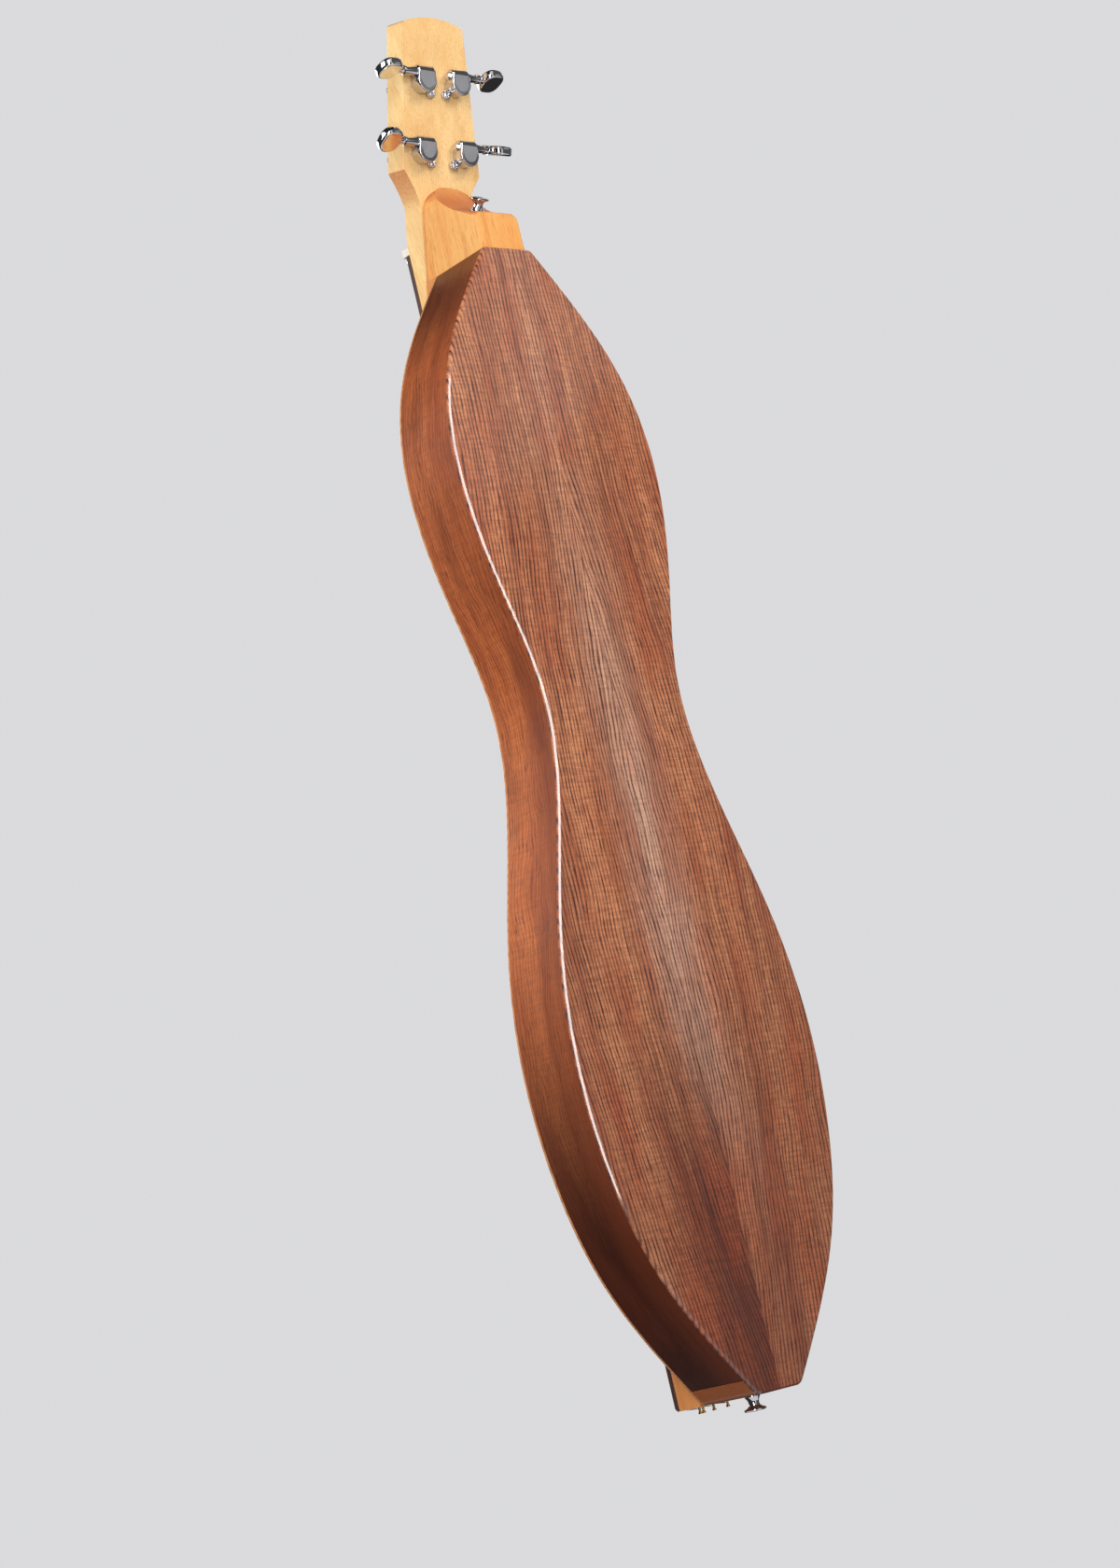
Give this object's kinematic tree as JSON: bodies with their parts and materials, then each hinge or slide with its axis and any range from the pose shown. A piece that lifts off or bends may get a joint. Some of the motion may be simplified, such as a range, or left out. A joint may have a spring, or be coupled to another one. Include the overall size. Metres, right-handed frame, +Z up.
{
  "type": "mountain dulcimer",
  "caption": "Fretted wooden lap zither with an hourglass body, a peghead tilted back on a scooped heel, geared tuners and strap buttons",
  "frame": {"origin": "Middle of the whole instrument's length and width, on the surface that its back lies on.", "axes": "+X runs from the peghead's tip to the tail strap button, +Y to the melody strings' side, +Z up through the soundboard to the strings."},
  "size_m": [0.8736, 0.1922, 0.0742],
  "materials": {
    "walnut_back": "satin lacquer",
    "walnut_side": "semi-gloss lacquer",
    "cedar_soundboard": "satin lacquer",
    "basswood_lining": "bare wood",
    "spruce_brace": "bare wood",
    "cherry_heel": "satin lacquer",
    "cherry_tail": "bare wood, lacquered end",
    "cherry_peghead": "satin lacquer",
    "cherry_fretboard": "satin lacquer",
    "dark_fingerboard": "oiled",
    "bone": "polished",
    "chrome": "polished",
    "tuner_cover": "satin",
    "steel": "turned",
    "nickel_post": "polished",
    "brass_pin": "polished",
    "string_steel": "drawn wire"
  },
  "bodies": {
    "body": {"back_left": "walnut_back", "back_right": "walnut_back", "soundboard": "cedar_soundboard", "side_left": "walnut_side", "side_right": "walnut_side", "back_lining_left": "basswood_lining", "back_lining_right": "basswood_lining", "top_lining_left": "basswood_lining", "top_lining_right": "basswood_lining", "back_brace_1": "spruce_brace", "back_brace_2": "spruce_brace", "back_brace_3": "spruce_brace", "top_brace_1": "spruce_brace", "top_brace_2": "spruce_brace", "head_block": "cherry_heel", "tail_block": "cherry_tail", "fretboard": "cherry_fretboard", "fingerboard": "dark_fingerboard", "bridge_cap": "dark_fingerboard", "saddle": "bone", "nut": "bone", "peghead": "cherry_peghead", "head_strap_button": "chrome", "tail_strap_button": "chrome", "string_1": "string_steel", "tail_pin_1": "brass_pin", "tuner_1_housing": "tuner_cover", "tuner_1_bushing": "chrome", "tuner_1_screw": "chrome", "string_2": "string_steel", "tail_pin_2": "brass_pin", "tuner_2_housing": "tuner_cover", "tuner_2_bushing": "chrome", "tuner_2_screw": "chrome", "string_3": "string_steel", "tail_pin_3": "brass_pin", "tuner_3_housing": "tuner_cover", "tuner_3_bushing": "chrome", "tuner_3_screw": "chrome", "string_4": "string_steel", "tail_pin_4": "brass_pin", "tuner_4_housing": "tuner_cover", "tuner_4_bushing": "chrome", "tuner_4_screw": "chrome"},
    "tuner_1_key": {"tuner_1_worm_shaft": "steel", "tuner_1_button": "chrome"},
    "tuner_1_spindle": {"tuner_1_post": "nickel_post", "string_1_winding": "string_steel"},
    "tuner_2_key": {"tuner_2_worm_shaft": "steel", "tuner_2_button": "chrome"},
    "tuner_2_spindle": {"tuner_2_post": "nickel_post", "string_2_winding": "string_steel"},
    "tuner_3_key": {"tuner_3_worm_shaft": "steel", "tuner_3_button": "chrome"},
    "tuner_3_spindle": {"tuner_3_post": "nickel_post", "string_3_winding": "string_steel"},
    "tuner_4_key": {"tuner_4_worm_shaft": "steel", "tuner_4_button": "chrome"},
    "tuner_4_spindle": {"tuner_4_post": "nickel_post", "string_4_winding": "string_steel"}
  },
  "joints": [
    {"name": "tuner_1_key_turn", "type": "hinge", "parent": "body", "child": "tuner_1_key", "pos_m": [-0.35447, 0.01692, 0.03273], "axis": [0, 1, 0], "continuous": true},
    {"name": "tuner_1_spindle_turn", "type": "hinge", "parent": "body", "child": "tuner_1_spindle", "pos_m": [-0.35069, 0.01692, 0.038], "axis": [-0.2419, 0, 0.9703], "continuous": true},
    {"name": "tuner_2_key_turn", "type": "hinge", "parent": "body", "child": "tuner_2_key", "pos_m": [-0.39697, 0.01397, 0.02213], "axis": [0, 1, 0], "continuous": true},
    {"name": "tuner_2_spindle_turn", "type": "hinge", "parent": "body", "child": "tuner_2_spindle", "pos_m": [-0.39319, 0.01397, 0.0274], "axis": [-0.2419, 0, 0.9703], "continuous": true},
    {"name": "tuner_3_key_turn", "type": "hinge", "parent": "body", "child": "tuner_3_key", "pos_m": [-0.39697, -0.01397, 0.02213], "axis": [0, 1, 0], "continuous": true},
    {"name": "tuner_3_spindle_turn", "type": "hinge", "parent": "body", "child": "tuner_3_spindle", "pos_m": [-0.39319, -0.01397, 0.0274], "axis": [-0.2419, 0, 0.9703], "continuous": true},
    {"name": "tuner_4_key_turn", "type": "hinge", "parent": "body", "child": "tuner_4_key", "pos_m": [-0.35447, -0.01692, 0.03273], "axis": [0, 1, 0], "continuous": true},
    {"name": "tuner_4_spindle_turn", "type": "hinge", "parent": "body", "child": "tuner_4_spindle", "pos_m": [-0.35069, -0.01692, 0.038], "axis": [-0.2419, 0, 0.9703], "continuous": true}
  ],
  "couplings": [
    {"joint": "tuner_1_spindle_turn", "follows": "tuner_1_key_turn", "ratio": 0.071429},
    {"joint": "tuner_2_spindle_turn", "follows": "tuner_2_key_turn", "ratio": 0.071429},
    {"joint": "tuner_3_spindle_turn", "follows": "tuner_3_key_turn", "ratio": 0.071429},
    {"joint": "tuner_4_spindle_turn", "follows": "tuner_4_key_turn", "ratio": 0.071429}
  ]
}
